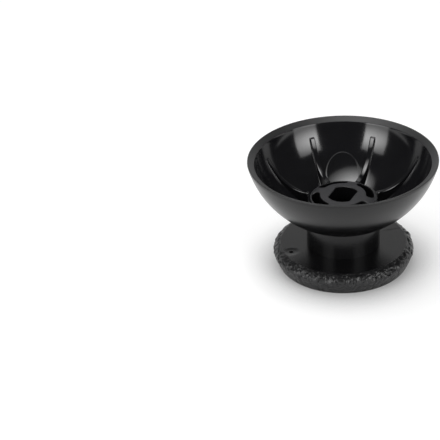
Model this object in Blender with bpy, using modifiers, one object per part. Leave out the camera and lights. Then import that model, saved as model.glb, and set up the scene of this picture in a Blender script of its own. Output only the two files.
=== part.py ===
"""Thumbstick cap of a game controller: one plastic moulding, bowl up, standing on its thumb disc.

Frame: the axis of the cap is Z, the thumb face rests on z = 0, +Z is up through the bowl's mouth.
"""

import math

import bmesh
import bpy

MM = 0.001
NAME = "thumbstick_cap"

# Bowl: a skirt that is part of a sphere, with a lip that slopes inwards from its outer edge
OVERALL_HEIGHT = 14.87 * MM
RIM_RADIUS = 12.0 * MM
BOWL_CENTRE_RISE = 3.09 * MM
BOWL_WALL = 0.76 * MM
LIP_OUTER_ROUND = 0.10 * MM
LIP_OUTER_DROP = 0.18 * MM
LIP_SLOPE_DROP = 0.45 * MM

# Neck and thumb disc
NECK_WALL = 0.75 * MM
DISC_RADIUS = 9.05 * MM
DISC_THICKNESS = 2.83 * MM
SHOULDER_WIDTH = 0.90 * MM
SHOULDER_DROP = 1.05 * MM
EDGE_TAPER = 0.72 * MM
FOOT_ROUND = 0.20 * MM
FOOT_RING_WIDTH = 1.10 * MM
DISH_DEPTH = 1.10 * MM
DISH_EDGE_ROUND = 0.20 * MM
NECK_FILLET = 0.20 * MM

# Boss in the middle of the bowl: stem bore, sleeve, core-out slots and outer wall
BOSS_RISE = 2.63 * MM
CROWN_DROP = 0.60 * MM
CROWN_START = 0.15 * MM
BOSS_DRAFT = 0.10 * MM
BOSS_FILLET = 0.35 * MM
BORE_RADIUS = 1.95 * MM
BORE_FLATS = 2.90 * MM
BORE_TURN = math.radians(-22.5)
BORE_FLOOR = 2.55 * MM
SLEEVE_WALL = 1.00 * MM
SLOT_WIDTH = 1.00 * MM
SLOT_FLOOR = 2.35 * MM
BOSS_WALL = 0.55 * MM
SLOT_COUNT = 4
SLOT_SPREAD = math.radians(68.0)
SLOT_TURN = math.radians(22.5)

# Ribs from the boss up the wall
RIB_COUNT = 8
RIB_TURN = math.radians(22.5)
RIB_TOP_THICKNESS = 0.55 * MM
RIB_DRAFT = math.radians(2.0)
RIB_TIP_TO_RIM = 1.60 * MM
RIB_TIP_HEIGHT = 0.35 * MM
RIB_ROOT_STEP = 0.05 * MM
RIB_TOP_ROUND = 0.10 * MM
RIB_ROUND_ANGLE = math.radians(60.0)
RIB_FALL = 3.0

# Round ejector pad on the back wall, and the gate mark on the disc
PAD_RADIUS = 2.15 * MM
PAD_TO_BOSS = 0.50 * MM
PAD_STEP = 0.07 * MM
GATE_TURN = math.radians(202.6)
GATE_TO_SHOULDER = 0.05 * MM
GATE_WELL_RADIUS = 0.90 * MM
GATE_WELL_DEPTH = 0.12 * MM
GATE_PIP_RADIUS = 0.27 * MM
GATE_PIP_DEPTH = 0.45 * MM

# Fineness of the round stretches
TURN_STEPS = 64
BOWL_STEPS = 12
DISH_STEPS = 6
CROWN_STEPS = 6
ROUND_STEPS = 3
EDGE_STEPS = 2
RIB_STEPS = 9
SLOT_STEPS = 6
BORE_STEPS = 8
PAD_STEPS = 36
GATE_STEPS = 12
CUT_MARGIN = 1.0 * MM
WELD = 0.001 * MM

PLASTIC_COLOUR = (0.012, 0.012, 0.013, 1.0)
PLASTIC_ROUGHNESS = 0.32

# Heights and radii that follow from the sizes above
LIP_EDGE_Z = OVERALL_HEIGHT - LIP_OUTER_DROP
BOWL_CENTRE_Z = LIP_EDGE_Z + BOWL_CENTRE_RISE
BOWL_RADIUS = math.hypot(RIM_RADIUS, BOWL_CENTRE_RISE)
INNER_RADIUS = BOWL_RADIUS - BOWL_WALL
MID_RADIUS = BOWL_RADIUS - BOWL_WALL / 2
SLOT_INNER_RADIUS = BORE_RADIUS + SLEEVE_WALL
SLOT_OUTER_RADIUS = SLOT_INNER_RADIUS + SLOT_WIDTH
BOSS_RADIUS = SLOT_OUTER_RADIUS + BOSS_WALL
NECK_RADIUS = SLOT_OUTER_RADIUS + NECK_WALL
DISC_BACK_RADIUS = DISC_RADIUS - SHOULDER_WIDTH
FOOT_RADIUS = DISC_RADIUS - EDGE_TAPER
DISH_RADIUS = FOOT_RADIUS - FOOT_RING_WIDTH
RIB_TIP_RADIUS = RIM_RADIUS - RIB_TIP_TO_RIM
PAD_PLACE = BOSS_RADIUS + PAD_TO_BOSS + PAD_RADIUS
GATE_PLACE = DISC_BACK_RADIUS - GATE_TO_SHOULDER - GATE_WELL_RADIUS


def sphere_z(sphere_radius, r):
    """Height of the lower half of a bowl sphere at a distance r from the axis."""
    return BOWL_CENTRE_Z - math.sqrt(sphere_radius ** 2 - r ** 2)


def sphere_r(sphere_radius, z):
    """Distance from the axis of a bowl sphere at height z."""
    return math.sqrt(sphere_radius ** 2 - (BOWL_CENTRE_Z - z) ** 2)


BOSS_TOP_Z = sphere_z(INNER_RADIUS, BOSS_RADIUS) + BOSS_RISE
BORE_FLOOR_Z = DISH_DEPTH + BORE_FLOOR
SLOT_FLOOR_Z = DISH_DEPTH + SLOT_FLOOR


def blend(start, corner, end, steps=ROUND_STEPS):
    """A rounded corner from start to end, pulled towards the sharp corner."""
    points = []
    for i in range(steps + 1):
        t = i / steps
        a, b, c = (1 - t) ** 2, 2 * t * (1 - t), t ** 2
        points.append((a * start[0] + b * corner[0] + c * end[0],
                       a * start[1] + b * corner[1] + c * end[1]))
    return points


def sphere_run(sphere_radius, r_start, r_end, steps):
    """Points along a bowl sphere, evenly spaced by angle, both ends included."""
    a = math.asin(r_start / sphere_radius)
    b = math.asin(r_end / sphere_radius)
    angles = [a + (b - a) * i / steps for i in range(steps + 1)]
    return [(sphere_radius * math.sin(t), BOWL_CENTRE_Z - sphere_radius * math.cos(t)) for t in angles]


def inside_profile():
    """From the axis over the boss, across its foot and up the inner wall to the lip."""
    crown_r = SLOT_INNER_RADIUS - CROWN_START
    foot_corner_r = BOSS_RADIUS + BOSS_DRAFT
    foot_r = foot_corner_r + BOSS_FILLET
    foot_z = sphere_z(INNER_RADIUS, foot_corner_r)
    lip_r = sphere_r(INNER_RADIUS, OVERALL_HEIGHT - LIP_SLOPE_DROP)
    points = [(0.0, BOSS_TOP_Z)]
    points += blend((crown_r, BOSS_TOP_Z), ((crown_r + BOSS_RADIUS) / 2, BOSS_TOP_Z),
                    (BOSS_RADIUS, BOSS_TOP_Z - CROWN_DROP), CROWN_STEPS)
    points += blend((foot_corner_r, foot_z + BOSS_FILLET), (foot_corner_r, foot_z),
                    (foot_r, sphere_z(INNER_RADIUS, foot_r)))
    points += sphere_run(INNER_RADIUS, foot_r, lip_r, BOWL_STEPS)[1:]
    return points


def outside_profile():
    """From the lip down the bowl and neck, round the disc, and over the dished thumb face."""
    neck_top_r = NECK_RADIUS + NECK_FILLET
    neck_top_z = sphere_z(BOWL_RADIUS, NECK_RADIUS)
    edge_slope = EDGE_TAPER / (DISC_THICKNESS - SHOULDER_DROP)
    dish_ball = (DISH_RADIUS ** 2 + DISH_DEPTH ** 2) / (2 * DISH_DEPTH)
    points = blend((RIM_RADIUS - LIP_OUTER_ROUND, OVERALL_HEIGHT), (RIM_RADIUS, OVERALL_HEIGHT),
                   (RIM_RADIUS, LIP_EDGE_Z))
    points += sphere_run(BOWL_RADIUS, RIM_RADIUS, neck_top_r, BOWL_STEPS)[1:]
    points += blend((neck_top_r, sphere_z(BOWL_RADIUS, neck_top_r)), (NECK_RADIUS, neck_top_z),
                    (NECK_RADIUS, neck_top_z - NECK_FILLET))[1:]
    points += blend((NECK_RADIUS, DISC_THICKNESS + NECK_FILLET), (NECK_RADIUS, DISC_THICKNESS),
                    (NECK_RADIUS + NECK_FILLET, DISC_THICKNESS))
    points += blend((DISC_BACK_RADIUS, DISC_THICKNESS), (DISC_RADIUS, DISC_THICKNESS),
                    (DISC_RADIUS, DISC_THICKNESS - SHOULDER_DROP), CROWN_STEPS)
    points += blend((FOOT_RADIUS + FOOT_ROUND * edge_slope, FOOT_ROUND), (FOOT_RADIUS, 0.0),
                    (FOOT_RADIUS - FOOT_ROUND, 0.0), EDGE_STEPS)
    dish = [DISH_RADIUS * (1 - i / DISH_STEPS) for i in range(DISH_STEPS + 1)]
    dish_points = [(r, DISH_DEPTH - dish_ball + math.sqrt(dish_ball ** 2 - r ** 2)) for r in dish]
    edge_r = DISH_RADIUS + DISH_EDGE_ROUND
    inner_r = DISH_RADIUS - DISH_EDGE_ROUND
    inner_z = DISH_DEPTH - dish_ball + math.sqrt(dish_ball ** 2 - inner_r ** 2)
    points += blend((edge_r, 0.0), (DISH_RADIUS, 0.0), (inner_r, inner_z), EDGE_STEPS)
    points += dish_points[1:]
    return points


def collection(name):
    """A new collection in the scene."""
    group = bpy.data.collections.new(name)
    bpy.context.scene.collection.children.link(group)
    return group


def add_object(name, mesh, group):
    """An object for a mesh, linked to its collection."""
    obj = bpy.data.objects.new(name, mesh)
    group.objects.link(obj)
    return obj


def turned(name, profile, group):
    """A solid of revolution about Z from points of (radius, height)."""
    mesh = bpy.data.meshes.new(name)
    edges = [(i, i + 1) for i in range(len(profile) - 1)]
    mesh.from_pydata([(r, 0.0, z) for r, z in profile], edges, [])
    obj = add_object(name, mesh, group)
    screw = obj.modifiers.new("turn", "SCREW")
    screw.axis = "Z"
    screw.steps = TURN_STEPS
    screw.render_steps = TURN_STEPS
    screw.use_merge_vertices = True
    screw.merge_threshold = WELD
    return obj


def flat_solid(name, outline, thickness, group):
    """A closed outline in XY given thickness about z = 0, as a mesh with welded caps."""
    curve = bpy.data.curves.new(name, "CURVE")
    curve.dimensions = "2D"
    curve.fill_mode = "BOTH"
    curve.extrude = thickness / 2
    spline = curve.splines.new("POLY")
    spline.points.add(len(outline) - 1)
    for point, (x, y) in zip(spline.points, outline):
        point.co = (x, y, 0.0, 1.0)
    spline.use_cyclic_u = True
    source = add_object(name + "_outline", curve, group)
    bpy.context.view_layer.update()
    evaluated = source.evaluated_get(bpy.context.evaluated_depsgraph_get())
    mesh = bpy.data.meshes.new_from_object(evaluated)
    bm = bmesh.new()
    bm.from_mesh(mesh)
    bmesh.ops.remove_doubles(bm, verts=bm.verts, dist=WELD)
    bmesh.ops.recalc_face_normals(bm, faces=bm.faces)
    bm.to_mesh(mesh)
    bm.free()
    obj = add_object(name, mesh, group)
    obj.matrix_world = source.matrix_world
    bpy.data.objects.remove(source)
    return obj


def make_guide(obj):
    """Mark an object as a tool of the model and not a piece of it."""
    obj.hide_render = True
    obj.display_type = "WIRE"


def combine(body, tool, operation):
    """Join or cut the body with another solid."""
    make_guide(tool)
    step = body.modifiers.new(tool.name, "BOOLEAN")
    step.operation = operation
    step.solver = "EXACT"
    step.object = tool


def arc(radius, start, end, steps, centre=(0.0, 0.0)):
    """Points on a circle in XY from one angle to another, both ends included."""
    angles = [start + (end - start) * i / steps for i in range(steps + 1)]
    return [(centre[0] + radius * math.cos(a), centre[1] + radius * math.sin(a)) for a in angles]


def rib_height(r):
    """How far a rib stands above the inner wall: tall at the boss, low along the wall."""
    root_height = BOSS_RISE - CROWN_DROP - RIB_ROOT_STEP
    share = (RIB_TIP_RADIUS - r) / (RIB_TIP_RADIUS - BOSS_RADIUS)
    return RIB_TIP_HEIGHT + (root_height - RIB_TIP_HEIGHT) * min(max(share, 0.0), 1.0) ** RIB_FALL


def rib_outline():
    """Side view of one rib, from inside the boss wall to its blunt tip, sunk half into the wall."""
    root_r = BOSS_RADIUS - BOSS_WALL / 2
    runs = [BOSS_RADIUS + (RIB_TIP_RADIUS - BOSS_RADIUS) * i / RIB_STEPS for i in range(RIB_STEPS + 1)]
    top = [(r, sphere_z(INNER_RADIUS, r) + rib_height(r)) for r in runs]
    under = sphere_run(MID_RADIUS, RIB_TIP_RADIUS, root_r, RIB_STEPS)
    return [(root_r, top[0][1])] + top + under


def draft_rib(mesh):
    """Widen a rib downwards from its top edge, so that it draws from the mould."""
    for vertex in mesh.vertices:
        r, z, side = vertex.co
        top_z = sphere_z(INNER_RADIUS, max(r, BOSS_RADIUS)) + rib_height(r)
        half = RIB_TOP_THICKNESS / 2 + (top_z - z) * math.tan(RIB_DRAFT)
        vertex.co.z = math.copysign(half, side)


def add_ribs(body, cutters):
    """Eight upright ribs round the boss."""
    for i in range(RIB_COUNT):
        rib = flat_solid("rib_%d" % (i + 1), rib_outline(), RIB_TOP_THICKNESS, cutters)
        draft_rib(rib.data)
        turn = RIB_TURN + 2 * math.pi * i / RIB_COUNT
        rib.rotation_euler = (math.pi / 2, 0.0, turn)
        edge = rib.modifiers.new("round", "BEVEL")
        edge.width = RIB_TOP_ROUND
        edge.segments = 1
        edge.limit_method = "ANGLE"
        edge.angle_limit = RIB_ROUND_ANGLE
        combine(body, rib, "UNION")


def kidney_outline():
    """A curved slot about the axis with round ends."""
    half = SLOT_WIDTH / 2
    mid_r = SLOT_INNER_RADIUS + half
    reach = SLOT_SPREAD / 2 - half / mid_r
    end_a = (mid_r * math.cos(reach), mid_r * math.sin(reach))
    end_b = (end_a[0], -end_a[1])
    outer = arc(mid_r + half, -reach, reach, SLOT_STEPS)
    cap_a = arc(half, reach, reach + math.pi, SLOT_STEPS, end_a)
    inner = arc(mid_r - half, reach, -reach, SLOT_STEPS)
    cap_b = arc(half, math.pi - reach, 2 * math.pi - reach, SLOT_STEPS, end_b)
    return outer[:-1] + cap_a[:-1] + inner[:-1] + cap_b[:-1]


def cut_slots(body, cutters):
    """Curved core-out slots between the stem sleeve and the boss wall."""
    depth = BOSS_TOP_Z - SLOT_FLOOR_Z + CUT_MARGIN
    for i in range(SLOT_COUNT):
        slot = flat_solid("slot_%d" % (i + 1), kidney_outline(), depth, cutters)
        slot.location.z = SLOT_FLOOR_Z + depth / 2
        slot.rotation_euler.z = SLOT_TURN + 2 * math.pi * i / SLOT_COUNT
        combine(body, slot, "DIFFERENCE")


def cut_bore(body, cutters):
    """The blind bore for the stick's stem: round, with two flats."""
    reach = math.acos(BORE_FLATS / 2 / BORE_RADIUS)
    upper = arc(BORE_RADIUS, reach, math.pi - reach, BORE_STEPS)
    lower = arc(BORE_RADIUS, math.pi + reach, 2 * math.pi - reach, BORE_STEPS)
    depth = BOSS_TOP_Z - BORE_FLOOR_Z + CUT_MARGIN
    bore = flat_solid("stem_bore", upper + lower, depth, cutters)
    bore.location.z = BORE_FLOOR_Z + depth / 2
    bore.rotation_euler.z = BORE_TURN
    combine(body, bore, "DIFFERENCE")


def add_pad(body, cutters):
    """A round ejector pad that stands a little proud of the wall and follows its curve."""
    near = PAD_PLACE - PAD_RADIUS - PAD_STEP
    far = PAD_PLACE + PAD_RADIUS + PAD_STEP
    top = sphere_run(INNER_RADIUS - PAD_STEP, near, far, BOWL_STEPS)
    under = sphere_run(MID_RADIUS, far, near, BOWL_STEPS)
    shell = turned("pad_shell", top + under + top[:1], cutters)
    make_guide(shell)
    circle = arc(PAD_RADIUS, 0.0, 2 * math.pi, PAD_STEPS)[:-1]
    pad = flat_solid("ejector_pad", circle, OVERALL_HEIGHT, cutters)
    pad.location = (0.0, PAD_PLACE, OVERALL_HEIGHT / 2)
    combine(pad, shell, "INTERSECT")
    combine(body, pad, "UNION")


def cut_gate(body, cutters):
    """Where the plastic entered: a shallow well with a pip hole, on the back of the disc."""
    for name, radius, depth in (("gate_well", GATE_WELL_RADIUS, GATE_WELL_DEPTH),
                                ("gate_pip", GATE_PIP_RADIUS, GATE_PIP_DEPTH)):
        circle = arc(radius, 0.0, 2 * math.pi, GATE_STEPS)[:-1]
        height = depth + CUT_MARGIN
        tool = flat_solid(name, circle, height, cutters)
        tool.location = (GATE_PLACE * math.cos(GATE_TURN), GATE_PLACE * math.sin(GATE_TURN),
                         DISC_THICKNESS - depth + height / 2)
        combine(body, tool, "DIFFERENCE")


def plastic():
    """Black moulded ABS."""
    material = bpy.data.materials.new("black_abs")
    material.use_nodes = True
    shader = material.node_tree.nodes["Principled BSDF"]
    shader.inputs["Base Color"].default_value = PLASTIC_COLOUR
    shader.inputs["Roughness"].default_value = PLASTIC_ROUGHNESS
    shader.inputs["Metallic"].default_value = 0.0
    return material


def build():
    """The cap, as one solid."""
    for obj in list(bpy.data.objects):
        bpy.data.objects.remove(obj)
    parts = collection(NAME)
    cutters = collection("cutters")
    body = turned(NAME, inside_profile() + outside_profile(), parts)
    body.data.materials.append(plastic())
    add_ribs(body, cutters)
    add_pad(body, cutters)
    cut_slots(body, cutters)
    cut_bore(body, cutters)
    cut_gate(body, cutters)
    body.data.shade_smooth()


build()
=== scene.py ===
"""Looks of the thumbstick cap: its fine mesh, its moulded finishes, the studio light and the camera."""
import math
from functools import lru_cache

import bpy
from mathutils import Matrix, Quaternion, Vector, noise


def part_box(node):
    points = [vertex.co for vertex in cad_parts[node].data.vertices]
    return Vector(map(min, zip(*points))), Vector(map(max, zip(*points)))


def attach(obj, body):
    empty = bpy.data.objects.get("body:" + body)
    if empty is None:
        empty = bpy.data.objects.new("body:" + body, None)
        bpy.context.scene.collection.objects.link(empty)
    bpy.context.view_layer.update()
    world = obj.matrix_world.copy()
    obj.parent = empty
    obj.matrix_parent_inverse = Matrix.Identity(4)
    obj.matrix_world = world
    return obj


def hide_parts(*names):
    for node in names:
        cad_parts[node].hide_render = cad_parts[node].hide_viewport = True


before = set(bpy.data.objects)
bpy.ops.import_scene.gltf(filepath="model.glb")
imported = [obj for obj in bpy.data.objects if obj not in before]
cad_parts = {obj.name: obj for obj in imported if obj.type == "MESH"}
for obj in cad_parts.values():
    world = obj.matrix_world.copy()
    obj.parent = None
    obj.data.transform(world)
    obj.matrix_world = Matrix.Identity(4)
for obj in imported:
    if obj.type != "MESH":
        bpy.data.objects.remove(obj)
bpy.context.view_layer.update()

NODE = "thumbstick_cap"
MM = 0.001
TINY = 1e-9

# Outer sizes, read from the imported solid; every length here is in millimetres
cap_low, cap_high = (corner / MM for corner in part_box(NODE))
OVERALL_HEIGHT = cap_high.z - cap_low.z
RIM_RADIUS = (cap_high.x - cap_low.x) / 2

# Bowl and lip
BOWL_CENTRE_RISE = 3.09
BOWL_WALL = 0.76
LIP_OUTER_ROUND = 0.10
LIP_OUTER_DROP = 0.18
LIP_SLOPE_DROP = 0.45
LIP_INNER_SOFT = 0.05

# Neck and thumb disc
NECK_WALL = 0.75
DISC_RADIUS = 9.05
DISC_THICKNESS = 2.83
SHOULDER_WIDTH = 0.90
SHOULDER_DROP = 1.05
SHOULDER_BULGE = 0.6
EDGE_TAPER = 0.72
FOOT_ROUND = 0.20
FOOT_RING_WIDTH = 1.10
DISH_DEPTH = 1.10
DISH_EDGE_ROUND = 0.20

# Boss, stem bore and core-out slots
BOSS_RISE = 2.63
CROWN_DROP = 0.60
CROWN_START = 0.15
BOSS_DRAFT = 0.10
BOSS_FILLET = 0.35
BOSS_EDGE_SOFT = 0.07
BORE_RADIUS = 1.95
BORE_FLATS = 2.90
BORE_TURN = math.radians(-22.5)
BORE_FLOOR = 2.55
SLEEVE_WALL = 1.00
SLOT_WIDTH = 1.00
SLOT_FLOOR = 2.35
BOSS_WALL = 0.55
SLOT_COUNT = 4
SLOT_SPREAD = math.radians(68.0)
SLOT_TURN = math.radians(22.5)
MOUTH_SOFT = 0.09
CORE_DRAFT = 0.05
CORE_FLOOR_SOFT = 0.12

# Ribs
RIB_COUNT = 8
RIB_PITCH = 2 * math.pi / RIB_COUNT
RIB_TURN = math.radians(22.5)
RIB_HALF = 0.29
RIB_DRAFT = math.radians(11.0)
RIB_EDGE_RADIUS = 0.30
RIB_EDGE_TURN = math.radians(30.0)
RIB_FOOT_SOFT = 0.08
RIB_TIP_TO_RIM = 1.60
RIB_TIP_HEIGHT = 0.38
RIB_TIP_SOFT = 0.12
RIB_ROOT_STEP = 0.05
RIB_FALL = 2.2

# Ejector pad, gate mark and knit line
PAD_RADIUS = 2.15
PAD_TO_BOSS = 0.50
PAD_STEP = 0.036
PAD_EDGE_SOFT = 0.06
GATE_TURN = math.radians(202.6)
GATE_TO_SHOULDER = 0.05
GATE_WELL_RADIUS = 0.90
GATE_WELL_DEPTH = 0.03
GATE_WELL_SLOPE = 0.20
GATE_PIP_RADIUS = 0.27
GATE_PIP_DEPTH = 0.60
GATE_SOFT = 0.02
KNIT_START = (4.79, 2.26)
KNIT_END = (7.81, 3.11)
KNIT_WIDTH = 0.26

# Grip: moulded relief like cracked leather round the edge of the disc, weaker near the foot
GRIP_FADE = 0.12
GRIP_FOOT_Z = 0.12
GRIP_LOW_SHARE = 0.45
GRIP_FACET = 0.62
GRIP_FACET_SQUASH = 0.6
GRIP_LEAN = 0.27
GRIP_GROOVE_WIDTH = 0.12
GRIP_GROOVE_DEPTH = 0.05
GRIP_GRAIN_SIZE = 0.25
GRIP_GRAIN_DEPTH = 0.04

# How far apart in the noise the tilts of two facets, and a facet's own three tilts, are read
TILT_SPACING = 14.87
TILT_OFFSETS = (5.3, 7.7, 9.1)

# Fineness of the mesh: columns round the axis, and rings from the boss over the lip to the thumb face
WALL_COLUMNS = 19
PAD_COLUMNS = 76
PAD_SECTOR = 1
CROWN_ROWS = 6
SIDE_ROWS = 10
PAD_ROWS = 60
HIGH_WALL_ROWS = 14
TIP_ROWS = 12
BRIM_ROWS = 6
LIP_ROWS = 3
FILLET_ROWS = 5
OUTER_ROWS = 26
NECK_ROWS = 4
BACK_ROWS = 5
SHOULDER_ROWS = 16
EDGE_ROWS = 20
FOOT_ROWS = 4
DISH_ROWS = 10
DISH_LAST_RING = 0.05
RIB_ROUND_STEPS = 3
CUT_STEPS = 24
MOUTH_STEPS = (0.3, 0.55, 0.8, 1.0)
SHARP_ANGLE = math.radians(40.0)

# Heights and radii that follow from the sizes above
LIP_EDGE_Z = OVERALL_HEIGHT - LIP_OUTER_DROP
BOWL_CENTRE_Z = LIP_EDGE_Z + BOWL_CENTRE_RISE
BOWL_RADIUS = math.hypot(RIM_RADIUS, BOWL_CENTRE_RISE)
INNER_RADIUS = BOWL_RADIUS - BOWL_WALL
SLOT_INNER_RADIUS = BORE_RADIUS + SLEEVE_WALL
SLOT_OUTER_RADIUS = SLOT_INNER_RADIUS + SLOT_WIDTH
BOSS_RADIUS = SLOT_OUTER_RADIUS + BOSS_WALL
CROWN_RADIUS = SLOT_INNER_RADIUS - CROWN_START
NECK_RADIUS = SLOT_OUTER_RADIUS + NECK_WALL
DISC_BACK_RADIUS = DISC_RADIUS - SHOULDER_WIDTH
FOOT_RADIUS = DISC_RADIUS - EDGE_TAPER
EDGE_SLOPE = EDGE_TAPER / (DISC_THICKNESS - SHOULDER_DROP)
DISH_RADIUS = FOOT_RADIUS - FOOT_RING_WIDTH
RIB_TIP_RADIUS = RIM_RADIUS - RIB_TIP_TO_RIM
BOSS_FOOT_RADIUS = BOSS_RADIUS + BOSS_DRAFT
WALL_START = BOSS_FOOT_RADIUS + BOSS_FILLET
PAD_PLACE = BOSS_RADIUS + PAD_TO_BOSS + PAD_RADIUS
GATE_PLACE = DISC_BACK_RADIUS - GATE_TO_SHOULDER - GATE_WELL_RADIUS

# Material slots of the moulding, one for each finish
POLISHED, SATIN, CROWN, GRIP, CORED, LIP = range(6)


def sphere_z(sphere_radius, r):
    """Height of the lower half of a bowl sphere at a distance r from the axis."""
    return BOWL_CENTRE_Z - math.sqrt(sphere_radius ** 2 - r ** 2)


def sphere_r(sphere_radius, z):
    """Distance from the axis of a bowl sphere at height z."""
    return math.sqrt(sphere_radius ** 2 - (BOWL_CENTRE_Z - z) ** 2)


BOSS_TOP_Z = sphere_z(INNER_RADIUS, BOSS_RADIUS) + BOSS_RISE
BORE_FLOOR_Z = DISH_DEPTH + BORE_FLOOR
SLOT_FLOOR_Z = DISH_DEPTH + SLOT_FLOOR


def mix(a, b, share):
    """The value a given share of the way from a to b."""
    return a + (b - a) * share


def smooth(value, low, high):
    """0 below low, 1 above high, and a smooth S between."""
    t = min(max((value - low) / (high - low), 0.0), 1.0)
    return t * t * (3 - 2 * t)


def spread(start, end, count):
    """Evenly spaced values after start, up to and with end."""
    return [mix(start, end, (i + 1) / count) for i in range(count)]


def spread_points(start, end, count):
    """Evenly spaced points after start, up to and with end."""
    return list(zip(*(spread(a, b, count) for a, b in zip(start, end))))


def blend(start, corner, end, steps):
    """A rounded corner from start to end, pulled towards the sharp corner."""
    points = []
    for i in range(steps + 1):
        t = i / steps
        a, b, c = (1 - t) ** 2, 2 * t * (1 - t), t ** 2
        points.append(tuple(a * p + b * q + c * s for p, q, s in zip(start, corner, end)))
    return points


def resample(path, count):
    """A line of points walked in equal steps, both ends included."""
    lengths = [0.0]
    for p, q in zip(path, path[1:]):
        lengths.append(lengths[-1] + math.dist(p, q))
    points = []
    k = 0
    for i in range(count + 1):
        target = lengths[-1] * i / count
        while k < len(path) - 2 and lengths[k + 1] < target:
            k += 1
        share = (target - lengths[k]) / max(lengths[k + 1] - lengths[k], TINY)
        points.append(tuple(mix(p, q, min(share, 1.0)) for p, q in zip(path[k], path[k + 1])))
    return points


def crown_z(r):
    """Height of the boss: flat round the bore, then falling away to its edge."""
    share = max(r - CROWN_RADIUS, 0.0) / (BOSS_RADIUS - CROWN_RADIUS)
    return BOSS_TOP_Z - CROWN_DROP * share ** 2


def rib_height(r):
    """How far a rib stands above the inner wall: tall at the boss, low along the wall."""
    root_height = BOSS_RISE - CROWN_DROP - RIB_ROOT_STEP
    share = (RIB_TIP_RADIUS - r) / (RIB_TIP_RADIUS - BOSS_RADIUS)
    return RIB_TIP_HEIGHT + (root_height - RIB_TIP_HEIGHT) * min(max(share, 0.0), 1.0) ** RIB_FALL


def rib_section(height):
    """Half of a rib's section, from its middle to the wall: (distance from the middle, height)."""
    edge_drop = RIB_EDGE_RADIUS * (1 - math.cos(RIB_EDGE_TURN))
    edge_middle = RIB_HALF - RIB_EDGE_RADIUS * math.sin(RIB_EDGE_TURN)
    foot = min(RIB_FOOT_SOFT, (height - edge_drop) / 2)
    base = RIB_HALF + (height - edge_drop - foot) * math.tan(RIB_DRAFT)
    points = [(0.0, height), (edge_middle, height)]
    for turn in spread(0.0, RIB_EDGE_TURN, RIB_ROUND_STEPS):
        points.append((edge_middle + RIB_EDGE_RADIUS * math.sin(turn),
                       height - RIB_EDGE_RADIUS * (1 - math.cos(turn))))
    for turn in [0.0] + spread(0.0, math.pi / 2, RIB_ROUND_STEPS):
        points.append((base + foot * (1 - math.cos(turn)), foot * (1 - math.sin(turn))))
    return points


def columns(r, section_r=None):
    """Angle and height above the wall of each column of the mesh, at a distance r from the axis.

    Each rib has the columns of its section, and the wall between is plain, finer at the ejector pad.
    """
    section_r = section_r or r
    section = rib_section(max(rib_height(section_r), RIB_TIP_HEIGHT))
    fade = 1 - smooth(r, RIB_TIP_RADIUS - RIB_TIP_SOFT, RIB_TIP_RADIUS + RIB_TIP_SOFT)
    reach = math.asin(section[-1][0] / r)
    made = []
    for i in range(RIB_COUNT):
        middle = RIB_TURN + i * RIB_PITCH
        for offset, lift in reversed(section[1:]):
            made.append((middle - math.asin(offset / r), lift * fade))
        for offset, lift in section:
            made.append((middle + math.asin(offset / r), lift * fade))
        count = PAD_COLUMNS if i == PAD_SECTOR else WALL_COLUMNS
        for j in range(1, count):
            made.append((middle + reach + (RIB_PITCH - 2 * reach) * j / count, 0.0))
    return made


def turned_ring(r, z, angles):
    """One ring of the mesh at a constant distance and height."""
    return [(r * math.cos(a), r * math.sin(a), z) for a in angles]


def pad_share(x, y):
    """1 on the ejector pad, 0 off it, with a soft edge."""
    return 1 - smooth(math.hypot(x, y - PAD_PLACE), PAD_RADIUS - PAD_EDGE_SOFT, PAD_RADIUS + PAD_EDGE_SOFT)


def wall_ring(r):
    """One ring of the inner wall with its ribs and the pad."""
    wall = sphere_z(INNER_RADIUS, r)
    proud = sphere_z(INNER_RADIUS - PAD_STEP, r) - wall
    ring = []
    for angle, lift in columns(r):
        x, y = r * math.cos(angle), r * math.sin(angle)
        ring.append((x, y, wall + lift + proud * pad_share(x, y)))
    return ring


def boss_side_path(lift):
    """Down the side of the boss, and out to where the wall or the rib of that height begins."""
    edge_r = BOSS_RADIUS - BOSS_EDGE_SOFT
    edge_z = crown_z(BOSS_RADIUS)
    corner_z = min(sphere_z(INNER_RADIUS, BOSS_FOOT_RADIUS) + lift, edge_z)
    end = (WALL_START, sphere_z(INNER_RADIUS, WALL_START) + lift)
    turn_z = corner_z + BOSS_FILLET
    start = (edge_r, crown_z(edge_r))
    if turn_z > edge_z - BOSS_EDGE_SOFT:
        return blend(start, (BOSS_RADIUS, corner_z), end, SIDE_ROWS)
    edge = blend(start, (BOSS_RADIUS, edge_z), (BOSS_RADIUS, edge_z - BOSS_EDGE_SOFT), FILLET_ROWS)
    return edge + blend((BOSS_FOOT_RADIUS, turn_z), (BOSS_FOOT_RADIUS, corner_z), end, FILLET_ROWS)


@lru_cache(maxsize=None)
def boss_angles(r):
    """Angles of the columns near the boss, where the ribs keep the section of their root."""
    return [angle for angle, lift in columns(r, WALL_START)]


def boss_side_rings():
    """The side of the boss between the ribs, with the ribs' roots."""
    lifts = [lift for angle, lift in columns(WALL_START)]
    paths = [resample(boss_side_path(lift), SIDE_ROWS) for lift in lifts]
    rings = []
    for j in range(SIDE_ROWS + 1):
        ring = []
        for c, path in enumerate(paths):
            r, z = path[j]
            angle = boss_angles(r)[c]
            ring.append((r * math.cos(angle), r * math.sin(angle), z))
        rings.append(ring)
    return rings


def crown_rings():
    """The top of the boss, from the flat round the bore out to its edge."""
    edge_r = BOSS_RADIUS - BOSS_EDGE_SOFT
    angles = boss_angles(edge_r)
    radii = [CROWN_RADIUS] + spread(CROWN_RADIUS, edge_r, CROWN_ROWS)[:-1]
    return [turned_ring(r, crown_z(r), angles) for r in radii]


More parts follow.
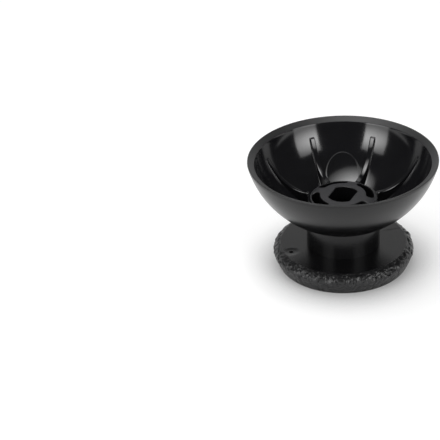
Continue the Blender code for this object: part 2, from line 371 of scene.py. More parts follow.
def inner_wall_rings():
    """The polished inside of the bowl, close-set at the pad and at the ribs' tips."""
    pad_end = PAD_PLACE + PAD_RADIUS + 2 * PAD_EDGE_SOFT
    tip_start = RIB_TIP_RADIUS - 2 * RIB_TIP_SOFT
    tip_end = RIB_TIP_RADIUS + 2 * RIB_TIP_SOFT
    lip_r = sphere_r(INNER_RADIUS, OVERALL_HEIGHT - LIP_SLOPE_DROP)
    turns = spread(math.asin(WALL_START / INNER_RADIUS), math.asin(pad_end / INNER_RADIUS), PAD_ROWS)
    radii = [INNER_RADIUS * math.sin(turn) for turn in turns]
    radii += spread(pad_end, tip_start, HIGH_WALL_ROWS)
    radii += spread(tip_start, tip_end, TIP_ROWS)
    radii += spread(tip_end, lip_r, BRIM_ROWS)[:-1]
    return [wall_ring(r) for r in radii]


def lip_profile():
    """From the inner wall up the sloping lip and over its outer edge."""
    lip_z = OVERALL_HEIGHT - LIP_SLOPE_DROP
    lip_r = sphere_r(INNER_RADIUS, lip_z)
    top_r = RIM_RADIUS - LIP_OUTER_ROUND
    slope = LIP_SLOPE_DROP / (top_r - lip_r)
    below = lip_z - LIP_INNER_SOFT
    rise = LIP_INNER_SOFT * slope
    crest = (top_r + LIP_OUTER_ROUND / 3, OVERALL_HEIGHT)
    points = blend((sphere_r(INNER_RADIUS, below), below), (lip_r, lip_z),
                   (lip_r + LIP_INNER_SOFT, lip_z + rise), LIP_ROWS)
    points += spread_points(points[-1], (top_r - LIP_INNER_SOFT, OVERALL_HEIGHT - rise), LIP_ROWS)
    points += blend(points[-1], (top_r, OVERALL_HEIGHT), crest, LIP_ROWS - 1)[1:]
    points += blend(crest, (RIM_RADIUS, OVERALL_HEIGHT), (RIM_RADIUS, LIP_EDGE_Z), FILLET_ROWS)[1:]
    return points


def even_angles():
    """Angles of the columns once they are evenly spaced, on the outside."""
    uneven = [angle for angle, lift in columns(RIM_RADIUS)]
    step = 2 * math.pi / len(uneven)
    start = sum(angle - step * i for i, angle in enumerate(uneven)) / len(uneven)
    return [start + step * i for i in range(len(uneven))]


def outer_rings():
    """The satin outside of the bowl; the columns slide to an even spacing on their way down."""
    uneven = [angle for angle, lift in columns(RIM_RADIUS)]
    even = even_angles()
    start = math.asin(RIM_RADIUS / BOWL_RADIUS)
    end = math.asin(NECK_RADIUS / BOWL_RADIUS)
    rings = []
    for i, turn in enumerate(spread(start, end, OUTER_ROWS)[:-1]):
        share = smooth(i + 1, 0, OUTER_ROWS)
        angles = [mix(a, b, share) for a, b in zip(uneven, even)]
        z = BOWL_CENTRE_Z - BOWL_RADIUS * math.cos(turn)
        rings.append(turned_ring(BOWL_RADIUS * math.sin(turn), z, angles))
    return rings


def neck_profile():
    """Down the neck and out over the back of the disc."""
    top_z = sphere_z(BOWL_RADIUS, NECK_RADIUS)
    points = [(NECK_RADIUS, top_z)]
    points += [(NECK_RADIUS, z) for z in spread(top_z, DISC_THICKNESS, NECK_ROWS)]
    back_end = DISC_BACK_RADIUS - GRIP_FADE
    points += [(r, DISC_THICKNESS) for r in spread(NECK_RADIUS, back_end, BACK_ROWS)]
    return points


def grip_profile():
    """From the back of the disc over its shoulder and down its tapered edge."""
    start = (DISC_BACK_RADIUS, DISC_THICKNESS)
    end = (DISC_RADIUS, DISC_THICKNESS - SHOULDER_DROP)
    corner = (mix((start[0] + end[0]) / 2, end[0], SHOULDER_BULGE),
              mix((start[1] + end[1]) / 2, start[1], SHOULDER_BULGE))
    points = resample(blend(start, corner, end, 2 * SHOULDER_ROWS), SHOULDER_ROWS)
    foot = (FOOT_RADIUS + FOOT_ROUND * EDGE_SLOPE, FOOT_ROUND)
    points += resample([points[-1], foot], EDGE_ROWS)[1:]
    return points


def dish_z(r):
    """Height of the dished thumb face at a distance r from the axis."""
    dish_ball = (DISH_RADIUS ** 2 + DISH_DEPTH ** 2) / (2 * DISH_DEPTH)
    return DISH_DEPTH - dish_ball + math.sqrt(dish_ball ** 2 - r ** 2)


def foot_profile():
    """Round the foot, over its flat ring and into the dished thumb face."""
    inner_r = DISH_RADIUS - DISH_EDGE_ROUND
    points = blend((FOOT_RADIUS + FOOT_ROUND * EDGE_SLOPE, FOOT_ROUND), (FOOT_RADIUS, 0.0),
                   (FOOT_RADIUS - FOOT_ROUND, 0.0), FOOT_ROWS)[1:]
    points += blend((DISH_RADIUS + DISH_EDGE_ROUND, 0.0), (DISH_RADIUS, 0.0),
                    (inner_r, dish_z(inner_r)), FOOT_ROWS)
    points += [(r, dish_z(r)) for r in spread(inner_r, DISH_LAST_RING, DISH_ROWS)]
    return points


def outward(profile, i):
    """Direction away from the plastic at a point of an outside profile that runs downwards."""
    before, after = profile[max(i - 1, 0)], profile[min(i + 1, len(profile) - 1)]
    dr, dz = after[0] - before[0], after[1] - before[1]
    length = math.hypot(dr, dz)
    return -dz / length, dr / length


def facet_tilt(middle):
    """The way that a facet of the grip leans, unlike its neighbours'."""
    places = [middle * TILT_SPACING + Vector((k, 2 * k, 3 * k)) for k in TILT_OFFSETS]
    return Vector([noise.noise(place) for place in places])


def grip_relief(point):
    """Height of the grip's relief: facets that each lean their own way, sunk joints and a grain."""
    place = Vector((point.x, point.y, point.z * GRIP_FACET_SQUASH)) / GRIP_FACET
    distances, middles = noise.voronoi(place)
    lean = (place - middles[0]).dot(facet_tilt(middles[0]))
    joint = 1 - smooth((distances[1] - distances[0]) * GRIP_FACET, 0.0, GRIP_GROOVE_WIDTH)
    grain = noise.noise(point / GRIP_GRAIN_SIZE)
    return GRIP_LEAN * lean + GRIP_GRAIN_DEPTH * grain - GRIP_GROOVE_DEPTH * joint


def grip_share(r, z):
    """How much of its relief the grip has: none at the flat back and the foot, all on the shoulder."""
    share = smooth(r + DISC_THICKNESS - z, DISC_BACK_RADIUS, DISC_BACK_RADIUS + 2 * GRIP_FADE)
    share *= smooth(z, GRIP_FOOT_Z, GRIP_FOOT_Z + 2 * GRIP_FADE)
    return share * mix(GRIP_LOW_SHARE, 1.0, smooth(z, DISC_THICKNESS / 3, DISC_THICKNESS - SHOULDER_DROP))


def grip_rings(angles):
    """The edge of the disc with its relief."""
    profile = grip_profile()
    rings = []
    for i, (r, z) in enumerate(profile):
        out_r, out_z = outward(profile, i)
        share = grip_share(r, z)
        ring = []
        for angle in angles:
            relief = share * grip_relief(Vector((r * math.cos(angle), r * math.sin(angle), z)))
            far, high = r + out_r * relief, z + out_z * relief
            ring.append((far * math.cos(angle), far * math.sin(angle), high))
        rings.append(ring)
    return rings


def halved(angles):
    """The same angles with one more between each pair."""
    closed = angles + [angles[0] + 2 * math.pi]
    return [value for a, b in zip(closed, closed[1:]) for value in (a, (a + b) / 2)]


def stitch(lower, upper):
    """Faces between two closed rings of vertex numbers, of the same count or one of twice the other."""
    n, m = len(lower), len(upper)
    faces = []
    for i in range(min(n, m)):
        j = (i + 1) % min(n, m)
        if n == m:
            faces.append((lower[i], lower[j], upper[j], upper[i]))
        elif m == 2 * n:
            near, middle, far = upper[2 * i], upper[2 * i + 1], upper[(2 * i + 2) % m]
            faces += [(lower[i], middle, near), (lower[i], lower[j], middle), (lower[j], far, middle)]
        else:
            near, middle, far = lower[2 * i], lower[2 * i + 1], lower[(2 * i + 2) % n]
            faces += [(near, middle, upper[i]), (middle, upper[j], upper[i]), (middle, far, upper[j])]
    return faces


def ring_mesh(name, strips):
    """A closed mesh from rings of points, capped at both ends; each ring comes with its finish."""
    points, faces, finishes = [], [], []
    before = None
    for ring, finish in strips:
        numbers = list(range(len(points), len(points) + len(ring)))
        points += [(x * MM, y * MM, z * MM) for x, y, z in ring]
        if before is None:
            faces.append(tuple(reversed(numbers)))
        else:
            faces += stitch(before, numbers)
        finishes += [finish] * (len(faces) - len(finishes))
        before = numbers
    faces.append(tuple(before))
    finishes.append(strips[-1][1])
    mesh = bpy.data.meshes.new(name)
    mesh.from_pydata(points, [], faces)
    mesh.polygons.foreach_set("material_index", finishes)
    mesh.validate()
    mesh.flip_normals()
    return mesh


def link(name, data):
    """An object in the scene for a mesh, a light or a camera."""
    obj = bpy.data.objects.new(name, data)
    bpy.context.scene.collection.objects.link(obj)
    return obj


def body_strips():
    """Every ring of the moulding, from the top of the boss over the lip to the thumb face."""
    lip_angles = [angle for angle, lift in columns(RIM_RADIUS)]
    even = even_angles()
    fine = halved(even)
    strips = [(ring, CROWN) for ring in crown_rings()]
    strips += [(ring, POLISHED) for ring in boss_side_rings()]
    strips += [(ring, POLISHED) for ring in inner_wall_rings()]
    lip = [turned_ring(r, z, lip_angles) for r, z in lip_profile()]
    strips += [(lip[0], POLISHED)] + [(ring, LIP) for ring in lip[1:]]
    strips += [(ring, SATIN) for ring in outer_rings()]
    strips += [(turned_ring(r, z, even), SATIN) for r, z in neck_profile()]
    strips += [(ring, GRIP) for ring in grip_rings(fine)]
    strips += [(turned_ring(r, z, even), SATIN) for r, z in foot_profile()]
    return strips


def kidney(grow):
    """Outline of a curved slot about the axis with round ends, let out by some amount."""
    middle_r = SLOT_INNER_RADIUS + SLOT_WIDTH / 2
    half = SLOT_WIDTH / 2 + grow
    reach = SLOT_SPREAD / 2 - SLOT_WIDTH / 2 / middle_r
    steps = CUT_STEPS // 2
    points = []
    for i in range(steps):
        turn = mix(-reach, reach, i / steps)
        points.append(((middle_r + half) * math.cos(turn), (middle_r + half) * math.sin(turn)))
    for i in range(steps):
        turn = reach + math.pi * i / steps
        points.append((middle_r * math.cos(reach) + half * math.cos(turn),
                       middle_r * math.sin(reach) + half * math.sin(turn)))
    for i in range(steps):
        turn = mix(reach, -reach, i / steps)
        points.append(((middle_r - half) * math.cos(turn), (middle_r - half) * math.sin(turn)))
    for i in range(steps):
        turn = math.pi - reach + math.pi * i / steps
        points.append((middle_r * math.cos(reach) + half * math.cos(turn),
                       -middle_r * math.sin(reach) + half * math.sin(turn)))
    return points


def flatted(grow):
    """Outline of the stem bore, round with two flats, let out by some amount."""
    radius, half = BORE_RADIUS + grow, BORE_FLATS / 2 + grow
    reach = math.acos(half / radius)
    points = []
    for start in (reach, math.pi + reach):
        for i in range(CUT_STEPS):
            turn = start + (math.pi - 2 * reach) * i / (CUT_STEPS - 1)
            points.append((radius * math.cos(turn), radius * math.sin(turn)))
    return points


def turned_points(points, turn):
    """Points in plan turned about the axis."""
    c, s = math.cos(turn), math.sin(turn)
    return [(x * c - y * s, x * s + y * c) for x, y in points]


def core_cutter(outline, turn, floor_z):
    """A core pin: its mouth is softened along the boss's crown, then it runs down to a round floor."""
    points = turned_points(outline(2 * MOUTH_SOFT), turn)
    rings = [[(x, y, BOSS_TOP_Z + BOSS_RISE) for x, y in points],
             [(x, y, crown_z(math.hypot(x, y)) + MOUTH_SOFT / 2) for x, y in points]]
    for share in MOUTH_STEPS:
        angle = share * math.pi / 2
        grow = MOUTH_SOFT * (1 - math.sin(angle))
        drop = MOUTH_SOFT * (1 - math.cos(angle))
        points = turned_points(outline(grow), turn)
        rings.append([(x, y, crown_z(math.hypot(x, y)) - drop) for x, y in points])
    soft = CORE_FLOOR_SOFT
    for inset, lift in ((0.0, soft), (soft / 3, soft / 3), (soft, 0.0)):
        points = turned_points(outline(-CORE_DRAFT - inset), turn)
        rings.append([(x, y, floor_z + lift) for x, y in points])
    return [(ring, CORED) for ring in rings]


def gate_cutter():
    """The gate's shallow well with a pip hole in its middle."""
    x, y = GATE_PLACE * math.cos(GATE_TURN), GATE_PLACE * math.sin(GATE_TURN)
    turns = [2 * math.pi * i / CUT_STEPS for i in range(CUT_STEPS)]
    # The pip's walls and floor take the core finish, whose deeper black is painted shade
    steps = [(GATE_WELL_RADIUS + GATE_WELL_SLOPE, GATE_WELL_DEPTH, SATIN),
             (GATE_WELL_RADIUS - GATE_WELL_SLOPE, -GATE_WELL_DEPTH, SATIN),
             (GATE_PIP_RADIUS + GATE_SOFT, -GATE_WELL_DEPTH, SATIN),
             (GATE_PIP_RADIUS, -GATE_WELL_DEPTH - GATE_SOFT, CORED),
             (GATE_PIP_RADIUS, -GATE_PIP_DEPTH / 2, CORED), (GATE_SOFT, -GATE_PIP_DEPTH, CORED)]
    strips = []
    for radius, drop, finish in steps:
        ring = [(x + radius * math.cos(a), y + radius * math.sin(a), DISC_THICKNESS + drop) for a in turns]
        strips.append((ring, finish))
    return strips


def joined(name, meshes):
    """One mesh that holds several."""
    whole = bpy.data.meshes.new(name)
    points, faces, finishes = [], [], []
    for mesh in meshes:
        first = len(points)
        points += [tuple(v.co) for v in mesh.vertices]
        faces += [tuple(first + v for v in p.vertices) for p in mesh.polygons]
        finishes += [p.material_index for p in mesh.polygons]
        bpy.data.meshes.remove(mesh)
    whole.from_pydata(points, [], faces)
    whole.polygons.foreach_set("material_index", finishes)
    return whole


def cutters():
    """All core pins, and the pin that marks the gate's well, as one object."""
    meshes = [ring_mesh("stem_bore", core_cutter(flatted, BORE_TURN, BORE_FLOOR_Z))]
    for i in range(SLOT_COUNT):
        turn = SLOT_TURN + 2 * math.pi * i / SLOT_COUNT
        meshes.append(ring_mesh("slot_%d" % (i + 1), core_cutter(kidney, turn, SLOT_FLOOR_Z)))
    meshes.append(ring_mesh("gate_well", gate_cutter()))
    return link("core_pins", joined("core_pins", meshes))


def cut(body, tool):
    """Take the tool out of the body for good, and remove the tool."""
    step = body.modifiers.new("cores", "BOOLEAN")
    step.operation = "DIFFERENCE"
    step.solver = "EXACT"
    step.object = tool
    bpy.context.view_layer.update()
    mesh = bpy.data.meshes.new_from_object(body.evaluated_get(bpy.context.evaluated_depsgraph_get()))
    body.modifiers.remove(step)
    old, body.data = body.data, mesh
    bpy.data.meshes.remove(old)
    bpy.data.objects.remove(tool)


# Refractive index and specular level: the usual ones of ABS, and those matched to the look of a finish
ABS_IOR = 1.54
POLISHED_IOR = 1.60
SATIN_IOR = 1.40
PLAIN_SHEEN = 0.5
GRIP_SHEEN = 0.42
KNIT_SHEEN = 0.1
KNIT_CORE = 0.3

# Sizes of what the finishes show, in millimetres
POLISHED_CLOUD = 2.5
POLISHED_WAVE = 1.6
POLISHED_WAVE_DEPTH = 0.05
SATIN_CLOUD = 3.0
SATIN_GRAIN = 0.08
SATIN_GRAIN_DEPTH = 0.01
BLASTED_CLOUD = 1.2
BLASTED_GRAIN = 0.12
BLASTED_GRAIN_DEPTH = 0.02
SCALE_SIZE = 0.45
SCALE_GRAIN_DEPTH = 0.06
DRAW_MARK_WIDTH = 0.2
DRAW_MARK_SQUASH = 0.05


def linear(code):
    """A linear colour from an sRGB hex value."""
    channels = [int(code[i:i + 2], 16) / 255 for i in (1, 3, 5)]
    values = [c / 12.92 if c <= 0.04045 else ((c + 0.055) / 1.055) ** 2.4 for c in channels]
    return (*values, 1.0)


def add(tree, kind, settings=None, links=None):
    """A node with its settings and the sockets that feed its inputs."""
    node = tree.nodes.new(kind)
    for name, value in (settings or {}).items():
        if isinstance(name, int) or name in node.inputs:
            node.inputs[name].default_value = value
        else:
            setattr(node, name, value)
    for name, socket in (links or {}).items():
        tree.links.new(socket, node.inputs[name])
    return node


def plastic(name, roughness, ior=ABS_IOR):
    """A plain ABS material, its node tree, its shader and its coordinates in metres."""
    material = bpy.data.materials.new(name)
    material.use_nodes = True
    tree = material.node_tree
    shader = tree.nodes["Principled BSDF"]
    shader.inputs["Metallic"].default_value = 0.0
    shader.inputs["Roughness"].default_value = roughness
    shader.inputs["IOR"].default_value = ior
    place = add(tree, "ShaderNodeTexCoord").outputs["Object"]
    return material, tree, shader, place


def colour_between(tree, shader, share, low, high):
    """Feed the base colour with a mix of two hex colours."""
    ramp = add(tree, "ShaderNodeMix", {"data_type": "RGBA"})
    ramp.inputs[6].default_value = linear(low)
    ramp.inputs[7].default_value = linear(high)
    tree.links.new(share, ramp.inputs[0])
    tree.links.new(ramp.outputs[2], shader.inputs["Base Color"])


def clouds(tree, place, size, detail):
    """Soft blotches from 0 to 1, of a given size in millimetres."""
    return add(tree, "ShaderNodeTexNoise", {"Scale": 1 / (size * MM), "Detail": detail},
               {"Vector": place}).outputs["Fac"]


def roughness_between(tree, shader, share, low, high):
    """Feed the roughness with a mix of two values."""
    haze = add(tree, "ShaderNodeMapRange", {"To Min": low, "To Max": high}, {"Value": share})
    tree.links.new(haze.outputs["Result"], shader.inputs["Roughness"])


def rough_up(tree, shader, height, depth, strength):
    """Shade the surface as if a height from 0 to 1 raised it, by a given depth in millimetres."""
    bump = add(tree, "ShaderNodeBump", {"Strength": strength, "Distance": depth * MM}, {"Height": height})
    tree.links.new(bump.outputs["Normal"], shader.inputs["Normal"])


def polished_abs():
    """Injection-moulded ABS off a polished cavity: near black, mirror-like, faintly wavy."""
    material, tree, shader, place = plastic("polished_moulded_abs", roughness=0.11, ior=POLISHED_IOR)
    cloud = clouds(tree, place, POLISHED_CLOUD, detail=3.0)
    colour_between(tree, shader, cloud, low="#101012", high="#18181a")
    roughness_between(tree, shader, cloud, low=0.08, high=0.14)
    wave = clouds(tree, place, POLISHED_WAVE, detail=1.0)
    rough_up(tree, shader, wave, POLISHED_WAVE_DEPTH, strength=0.08)
    return material


def knit_line(tree, place):
    """Sheen of the satin face: low along the thin line on the back of the disc where the plastic met."""
    run = (KNIT_END[0] - KNIT_START[0], KNIT_END[1] - KNIT_START[1])
    middle = [MM * (a + b) / 2 for a, b in zip(KNIT_START, KNIT_END)]
    half_sizes = (MM * math.hypot(*run) / 2, MM * KNIT_WIDTH / 2, MM * DISC_THICKNESS / 2)
    along = add(tree, "ShaderNodeMapping",
                {"vector_type": "TEXTURE", "Location": (*middle, MM * DISC_THICKNESS),
                 "Rotation": (0.0, 0.0, math.atan2(run[1], run[0])), "Scale": half_sizes}, {"Vector": place})
    parts = add(tree, "ShaderNodeSeparateXYZ", None, {0: along.outputs["Vector"]})
    farthest = parts.outputs["X"]
    for name in ("X", "Y", "Z"):
        size = add(tree, "ShaderNodeMath", {"operation": "ABSOLUTE"}, {0: parts.outputs[name]})
        farthest = add(tree, "ShaderNodeMath", {"operation": "MAXIMUM"},
                       {0: farthest, 1: size.outputs[0]}).outputs[0]
    sheen = add(tree, "ShaderNodeMapRange",
                {"interpolation_type": "SMOOTHSTEP", "From Min": KNIT_CORE, "To Min": KNIT_SHEEN,
                 "To Max": PLAIN_SHEEN}, {"Value": farthest})
    return sheen.outputs["Result"]


def satin_abs():
    """ABS off a finely spark-eroded cavity: a soft sheen that shows no sharp reflection.

    Its real grain of about 0.03 mm is too fine for the render, so it is drawn at 0.08 mm.
    """
    material, tree, shader, place = plastic("satin_moulded_abs", roughness=0.22, ior=SATIN_IOR)
    cloud = clouds(tree, place, SATIN_CLOUD, detail=4.0)
    colour_between(tree, shader, cloud, low="#111112", high="#181819")
    roughness_between(tree, shader, cloud, low=0.18, high=0.28)
    tree.links.new(knit_line(tree, place), shader.inputs["Specular IOR Level"])
    grain = clouds(tree, place, SATIN_GRAIN, detail=2.0)
    rough_up(tree, shader, grain, SATIN_GRAIN_DEPTH, strength=0.15)
    return material


def blasted_abs(name, roughness, low, high):
    """ABS off a blasted mould face, as on the boss's crown and the lip: greyer, with no mirror in it; on the
    crown that paler grey is partly painted sheen.

    Its real grain of about 0.05 mm is too fine for the render, so it is drawn at 0.12 mm.
    """
    material, tree, shader, place = plastic(name, roughness)
    colour_between(tree, shader, clouds(tree, place, BLASTED_CLOUD, detail=5.0), low, high)
    grain = clouds(tree, place, BLASTED_GRAIN, detail=3.0)
    rough_up(tree, shader, grain, BLASTED_GRAIN_DEPTH, strength=0.3)
    return material


def grip_abs():
    """ABS moulded with coarse scales for the thumb's grip: dull, paler on the scales than between."""
    material, tree, shader, place = plastic("coarse_grip_abs", roughness=0.33)
    shader.inputs["Specular IOR Level"].default_value = GRIP_SHEEN
    scales = add(tree, "ShaderNodeTexVoronoi", {"Scale": 1 / (SCALE_SIZE * MM), "feature": "F1"},
                 {"Vector": place})
    colour_between(tree, shader, scales.outputs["Distance"], low="#242425", high="#131314")
    grain = clouds(tree, place, GRIP_GRAIN_SIZE, detail=3.0)
    rough_up(tree, shader, grain, SCALE_GRAIN_DEPTH, strength=0.5)
    return material


def cored_abs():
    """ABS drawn smooth along the core pins, in the bore, slots and gate: slightly streaked, its deeper black
    painted shade.
    """
    material, tree, shader, place = plastic("drawn_core_abs_painted_shade", roughness=0.3)
    stretch = add(tree, "ShaderNodeMapping", {"Scale": (1.0, 1.0, DRAW_MARK_SQUASH)}, {"Vector": place})
    streak = clouds(tree, stretch.outputs["Vector"], DRAW_MARK_WIDTH, detail=2.0)
    # The deeper black is painted shade in the holes; the streaks are real draw marks
    colour_between(tree, shader, streak, low="#0c0c0d", high="#141416")
    roughness_between(tree, shader, streak, low=0.25, high=0.4)
    return material


def make_cap():
    """The moulding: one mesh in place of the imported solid."""
    mesh = ring_mesh("cap_moulding", body_strips())
    body = link("cap_moulding", mesh)
    tool = cutters()
    # The crown's grey, paler than the black of the rest, is partly painted sheen of the overhead lamp on its
    # real blasted face
    crown = blasted_abs("blasted_crown_abs_painted_sheen", roughness=0.55, low="#28282a", high="#37373a")
    lip = blasted_abs("blasted_lip_abs", roughness=0.50, low="#161617", high="#202021")
    for material in (polished_abs(), satin_abs(), crown, grip_abs(), cored_abs(), lip):
        body.data.materials.append(material)
        tool.data.materials.append(material)
    cut(body, tool)
    body.data.shade_smooth()
    body.data.set_sharp_from_angle(angle=SHARP_ANGLE)
    weighted = body.modifiers.new("clean_shading", "WEIGHTED_NORMAL")
    weighted.keep_sharp = True
    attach(body, "root")
    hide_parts(NODE)


# Camera; from here on lengths are in metres, but for the sensor and the lens
CAMERA_DISTANCE = 0.200
CAMERA_ELEVATION = math.radians(31.831)
CAMERA_YAW = math.radians(-5.328)
CAMERA_PITCH = math.radians(30.238)
CAMERA_ROLL = math.radians(-3.140)
CAMERA_NEAR = 0.01
SENSOR_WIDTH = 36.0
LENS = 125.08


def make_camera():
    """The camera at the photograph's angle, aimed by rotation alone."""
    camera = link("camera", bpy.data.cameras.new("camera"))
    place = Vector((0, -CAMERA_DISTANCE * math.cos(CAMERA_ELEVATION),
                    CAMERA_DISTANCE * math.sin(CAMERA_ELEVATION)))
    ahead = Vector((math.sin(CAMERA_YAW) * math.cos(CAMERA_PITCH),
                    math.cos(CAMERA_YAW) * math.cos(CAMERA_PITCH), -math.sin(CAMERA_PITCH)))
    level = ahead.cross(Vector((0, 0, 1))).normalized()
    above = level.cross(ahead)
    c, s = math.cos(CAMERA_ROLL), math.sin(CAMERA_ROLL)
    pose = Matrix((c * level + s * above, c * above - s * level, -ahead)).transposed().to_4x4()
    pose.translation = place
    camera.matrix_world = pose
    camera.data.sensor_width = SENSOR_WIDTH
    camera.data.lens = LENS
    camera.data.clip_start = CAMERA_NEAR
    bpy.context.scene.camera = camera


# Lamps: two soft boxes in front, each brightest at its inner edge, and a round one overhead
CAP_MIDDLE = Vector((0.0, 0.0, 0.010))
SOFTBOX_DISTANCE = 0.6
SOFTBOX_AZIMUTHS = {"softbox_left": math.radians(-47.5), "softbox_right": math.radians(51.5)}
SOFTBOX_ELEVATION = math.radians(21.5)
SOFTBOX_ROLL = math.radians(8.0)
SOFTBOX_WIDTH = 0.335
SOFTBOX_HEIGHT = 0.38
SOFTBOX_RADIANCE = 7.0
SOFTBOX_HOT_HEIGHT = 0.15
SOFTBOX_LEVEL_FADE = 0.3
SOFTBOX_EDGE = 0.18
OVERHEAD_PLACE = Vector((-0.108, 0.036, 0.600))
OVERHEAD_SIZE = 0.600
OVERHEAD_RADIANCE = 6.5
OVERHEAD_EDGE = 0.06
FADE_REACH = 1.1


def area_lamp(name, shape, width, height, radiance):
    """A flat lamp of a given radiance, which the camera doesn't see."""
    data = bpy.data.lights.new(name, "AREA")
    data.shape = shape
    data.size = width
    data.size_y = height
    area = width * height * (math.pi / 4 if shape == "ELLIPSE" else 1.0)
    data.energy = radiance * math.pi * area
    lamp = link(name, data)
    lamp.visible_camera = False
    return lamp


def fade(lamp, hot_x, hot_y, level_fade, edge):
    """Dim a lamp away from its hot spot, down to a share of its light; the lamp reaches from -1 to 1."""
    lamp.data.use_nodes = True
    tree = lamp.data.node_tree
    half_x, half_y = lamp.data.size / 2, lamp.data.size_y / 2
    place = add(tree, "ShaderNodeTexCoord").outputs["Object"]
    from_hot = add(tree, "ShaderNodeVectorMath",
                   {"operation": "SUBTRACT", 1: (hot_x * half_x, hot_y * half_y, 0.0)}, {0: place})
    scaled = add(tree, "ShaderNodeVectorMath",
                 {"operation": "MULTIPLY", 1: (level_fade / half_x, 1 / half_y, 0.0)},
                 {0: from_hot.outputs["Vector"]})
    far = add(tree, "ShaderNodeVectorMath", {"operation": "LENGTH"}, {0: scaled.outputs["Vector"]})
    share = add(tree, "ShaderNodeMapRange",
                {"interpolation_type": "SMOOTHSTEP", "From Max": FADE_REACH, "To Min": 1.0, "To Max": edge},
                {"Value": far.outputs["Value"]})
    tree.links.new(share.outputs["Result"], tree.nodes["Emission"].inputs["Strength"])


def aim(lamp, place, target, roll=0.0):
    """Set a lamp in its place, facing a target and rolled about its own axis."""
    lamp.location = place
    facing = (target - place).to_track_quat("-Z", "Y")
    lamp.rotation_euler = (facing @ Quaternion((0.0, 0.0, 1.0), roll)).to_euler()


def make_lamps():
    """Two soft boxes at the front corners and a round lamp above, all facing the cap."""
    level = SOFTBOX_DISTANCE * math.cos(SOFTBOX_ELEVATION)
    for name, azimuth in SOFTBOX_AZIMUTHS.items():
        side = math.copysign(1, azimuth)
        place = Vector((level * math.sin(azimuth), -level * math.cos(azimuth),
                        SOFTBOX_DISTANCE * math.sin(SOFTBOX_ELEVATION)))
        softbox = area_lamp(name, "RECTANGLE", SOFTBOX_WIDTH, SOFTBOX_HEIGHT, SOFTBOX_RADIANCE)
        fade(softbox, -side, SOFTBOX_HOT_HEIGHT, SOFTBOX_LEVEL_FADE, SOFTBOX_EDGE)
        aim(softbox, place, CAP_MIDDLE, -side * SOFTBOX_ROLL)
    overhead = area_lamp("overhead", "ELLIPSE", OVERHEAD_SIZE, OVERHEAD_SIZE, OVERHEAD_RADIANCE)
    fade(overhead, 0.0, 0.0, level_fade=1.0, edge=OVERHEAD_EDGE)
    aim(overhead, OVERHEAD_PLACE, Vector((OVERHEAD_PLACE.x, OVERHEAD_PLACE.y, 0.0)))


# White table with a painted shadow round the foot, and the room that reflections show: white up to a height
# that rises towards the back
FLOOR_SIZE = 6.0
FLOOR_COLOUR = "#adadad"
FLOOR_ROUGHNESS = 0.9
FLOOR_FILL = 0.68
# Painted shadow: close round the foot the table's glow falls from the full fill to this one, within this
# reach
PAINTED_SHADOW_FILL = 0.21
PAINTED_SHADOW_REACH = 0.010
PAINTED_SHADOW_DARK = 0.38
PAINTED_SHADOW_SAMPLES = 8
ROOM_LIGHT = 0.10
ROOM_DARK = 0.04
HORIZON_TOP = 0.12
BACKDROP_TOP = 0.65
BACKDROP_EDGE = 0.45
BACKDROP_FULL = 0.75
BACKDROP_SOFT = 0.7
WHITE = "#ffffff"


def seen_rays(tree, path):
    """1 for rays that show the surroundings as they are: straight, mirrored or refracted ones."""
    first = add(tree, "ShaderNodeMath", {"operation": "MAXIMUM"},
                {0: path.outputs["Is Camera Ray"], 1: path.outputs["Is Glossy Ray"]})
    both = add(tree, "ShaderNodeMath", {"operation": "MAXIMUM"},
               {0: first.outputs[0], 1: path.outputs["Is Transmission Ray"]})
    return both.outputs[0]


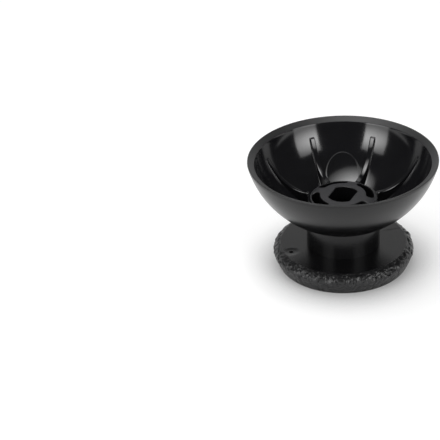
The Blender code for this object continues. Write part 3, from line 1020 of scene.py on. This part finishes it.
def make_floor():
    """A white matt table, lifted to pure white where it lies open, and darker close round the foot with a
    painted shadow.
    """
    mesh = bpy.data.meshes.new("floor")
    half = FLOOR_SIZE / 2
    mesh.from_pydata([(-half, -half, 0), (half, -half, 0), (half, half, 0), (-half, half, 0)], [],
                     [(0, 1, 2, 3)])
    floor = link("floor", mesh)
    material = bpy.data.materials.new("white_matt_table")
    material.use_nodes = True
    tree = material.node_tree
    shader = tree.nodes["Principled BSDF"]
    shader.inputs["Base Color"].default_value = linear(FLOOR_COLOUR)
    shader.inputs["Roughness"].default_value = FLOOR_ROUGHNESS
    shader.inputs["Emission Color"].default_value = linear(WHITE)
    seen = seen_rays(tree, add(tree, "ShaderNodeLightPath"))
    # Painted shadow: the glow is held back where the cap shuts out the open sky close by, and reflections
    # show it too
    painted_shadow_mask = add(tree, "ShaderNodeAmbientOcclusion",
                   {"Distance": PAINTED_SHADOW_REACH, "samples": PAINTED_SHADOW_SAMPLES})
    lift = add(tree, "ShaderNodeMapRange",
               {"interpolation_type": "SMOOTHSTEP", "From Min": PAINTED_SHADOW_DARK, "To Min": PAINTED_SHADOW_FILL,
                "To Max": FLOOR_FILL}, {"Value": painted_shadow_mask.outputs["AO"]})
    fill = add(tree, "ShaderNodeMath", {"operation": "MULTIPLY"}, {0: seen, 1: lift.outputs["Result"]})
    tree.links.new(fill.outputs[0], shader.inputs["Emission Strength"])
    mesh.materials.append(material)


def make_world():
    """White to the camera; in reflections a white sweep that rises behind the cap, under a dark room."""
    world = bpy.data.worlds.new("studio")
    bpy.context.scene.world = world
    world.use_nodes = True
    tree = world.node_tree
    ground = tree.nodes["Background"]
    path = add(tree, "ShaderNodeLightPath")
    way = add(tree, "ShaderNodeTexCoord")
    part = add(tree, "ShaderNodeSeparateXYZ", None, {0: way.outputs["Generated"]})
    top = add(tree, "ShaderNodeMapRange",
              {"From Min": BACKDROP_EDGE, "From Max": BACKDROP_FULL, "To Min": HORIZON_TOP,
               "To Max": BACKDROP_TOP}, {"Value": part.outputs["Y"]})
    share = add(tree, "ShaderNodeMath", {"operation": "DIVIDE"},
                {0: part.outputs["Z"], 1: top.outputs["Result"]})
    mirrored = add(tree, "ShaderNodeMapRange",
                   {"interpolation_type": "SMOOTHSTEP", "From Min": BACKDROP_SOFT, "From Max": 1.0,
                    "To Min": 1.0, "To Max": ROOM_DARK}, {"Value": share.outputs[0]})
    soft = add(tree, "ShaderNodeMix", {"data_type": "FLOAT", 2: ROOM_LIGHT},
               {0: seen_rays(tree, path), 3: mirrored.outputs["Result"]})
    whole = add(tree, "ShaderNodeMix", {"data_type": "FLOAT", 3: 1.0},
                {0: path.outputs["Is Camera Ray"], 2: soft.outputs[0]})
    tree.links.new(whole.outputs[0], ground.inputs["Strength"])
    ground.inputs["Color"].default_value = linear(WHITE)


make_cap()
make_camera()
make_lamps()
make_floor()
make_world()
bpy.context.scene.view_settings.view_transform = "Standard"
